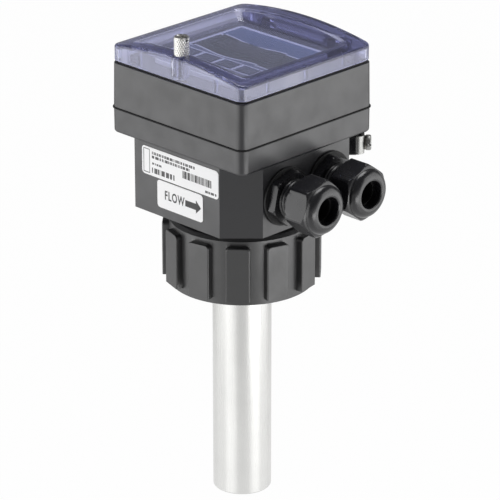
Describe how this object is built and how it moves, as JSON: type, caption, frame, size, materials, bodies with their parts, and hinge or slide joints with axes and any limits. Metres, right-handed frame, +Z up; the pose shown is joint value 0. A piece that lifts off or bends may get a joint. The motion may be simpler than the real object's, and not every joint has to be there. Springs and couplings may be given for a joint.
{
  "type": "insertion electromagnetic flow meter",
  "caption": "Insertion flow meter: square head with a hinged clear lid over a display and keys, side cable glands, earth terminal, union nut and a long steel probe tube.",
  "frame": {"origin": "on the probe's axis, at the sealing face under the probe's collar", "axes": "+Z up along the probe towards the lid, -Y out of the labelled front, +X the way the cable glands point"},
  "size_m": [0.1171, 0.0915, 0.2457],
  "materials": {
    "case_grey": "fine matt texture",
    "nut_grey": "fine matt texture",
    "lid_clear": "clear, tinted grey violet",
    "seal_dark": "matt",
    "steel": "turned",
    "plated": "nickel plated",
    "brass": "turned",
    "gland_black": "satin black",
    "label_white": "printed film",
    "bezel_grey": "matt",
    "panel_film": "printed film",
    "lcd": "blank display",
    "key_blue": "soft",
    "board_green": "lacquered",
    "switch_black": "moulded",
    "terminal_green": "moulded",
    "ribbon_grey": "flat cable",
    "holder_white": "turned",
    "copper": "enamelled wire",
    "iron": "machined",
    "lead_black": "smooth"
  },
  "bodies": {
    "housing": {"bezel_screws": "steel", "coil_bobbin": "holder_white", "coil_core": "iron", "coil_winding": "copper", "cover": "case_grey", "cover_gasket": "seal_dark", "cover_screws": "steel", "display_bezel": "bezel_grey", "display_board": "board_green", "display_board_screws": "steel", "earth_base": "gland_black", "earth_clamp": "plated", "earth_washer": "plated", "electrode_holder": "holder_white", "electrodes": "steel", "flow_label": "label_white", "front_panel": "panel_film", "gland_body_front": "gland_black", "gland_body_rear": "gland_black", "gland_locknut_front": "gland_black", "gland_locknut_rear": "gland_black", "gland_seal_front": "seal_dark", "gland_seal_rear": "seal_dark", "gland_washer_front": "seal_dark", "gland_washer_rear": "seal_dark", "housing_base": "case_grey", "key_switches": "switch_black", "lcd_glass": "lcd", "lid_seal": "seal_dark", "main_board": "board_green", "main_board_screws": "steel", "probe_locknut": "steel", "probe_oring": "seal_dark", "probe_tube": "steel", "rating_label": "label_white", "ribbon_link": "ribbon_grey", "screw_insert": "brass", "sensor_lead": "lead_black", "terminal_block": "terminal_green"},
    "lid": {"lid": "lid_clear", "hinge_pins": "steel"},
    "lid_screw": {"lid_screw": "plated", "screw_retainer": "steel"},
    "key_1": {"key_1": "key_blue"},
    "key_2": {"key_2": "key_blue"},
    "key_3": {"key_3": "key_blue"},
    "key_4": {"key_4": "key_blue"},
    "union_nut": {"union_nut": "nut_grey"},
    "gland_nut_front": {"gland_nut_front": "gland_black"},
    "gland_nut_rear": {"gland_nut_rear": "gland_black"},
    "earth_screw": {"earth_screw": "plated"}
  },
  "joints": [
    {"name": "lid_hinge", "type": "hinge", "parent": "housing", "child": "lid", "pos_m": [0, 0.04145, 0.0924], "axis": [-1, 0, 0], "range_deg": [0, 90]},
    {"name": "lid_screw_turn", "type": "hinge", "parent": "lid", "child": "lid_screw", "pos_m": [0, -0.03975, 0.1], "axis": [0, 0, 1], "continuous": true},
    {"name": "key_1_press", "type": "slide", "parent": "housing", "child": "key_1", "axis": [0, 0, -1], "range_m": [0, 0.0008], "stiffness_N_per_m": 600, "springref_m": -0.0003},
    {"name": "key_2_press", "type": "slide", "parent": "housing", "child": "key_2", "axis": [0, 0, -1], "range_m": [0, 0.0008], "stiffness_N_per_m": 600, "springref_m": -0.0003},
    {"name": "key_3_press", "type": "slide", "parent": "housing", "child": "key_3", "axis": [0, 0, -1], "range_m": [0, 0.0008], "stiffness_N_per_m": 600, "springref_m": -0.0003},
    {"name": "key_4_press", "type": "slide", "parent": "housing", "child": "key_4", "axis": [0, 0, -1], "range_m": [0, 0.0008], "stiffness_N_per_m": 600, "springref_m": -0.0003},
    {"name": "union_nut_spin", "type": "hinge", "parent": "housing", "child": "union_nut", "pos_m": [0, 0, 0], "axis": [0, 0, 1], "continuous": true},
    {"name": "gland_nut_front_turn", "type": "hinge", "parent": "housing", "child": "gland_nut_front", "pos_m": [0.0625, -0.0147, 0.0355], "axis": [1, 0, 0], "continuous": true},
    {"name": "gland_nut_rear_turn", "type": "hinge", "parent": "housing", "child": "gland_nut_rear", "pos_m": [0.0625, 0.0147, 0.0355], "axis": [1, 0, 0], "continuous": true},
    {"name": "earth_screw_turn", "type": "hinge", "parent": "housing", "child": "earth_screw", "pos_m": [0.0363, 0.0363, 0.0468], "axis": [0.7071, 0.7071, 0], "continuous": true}
  ]
}
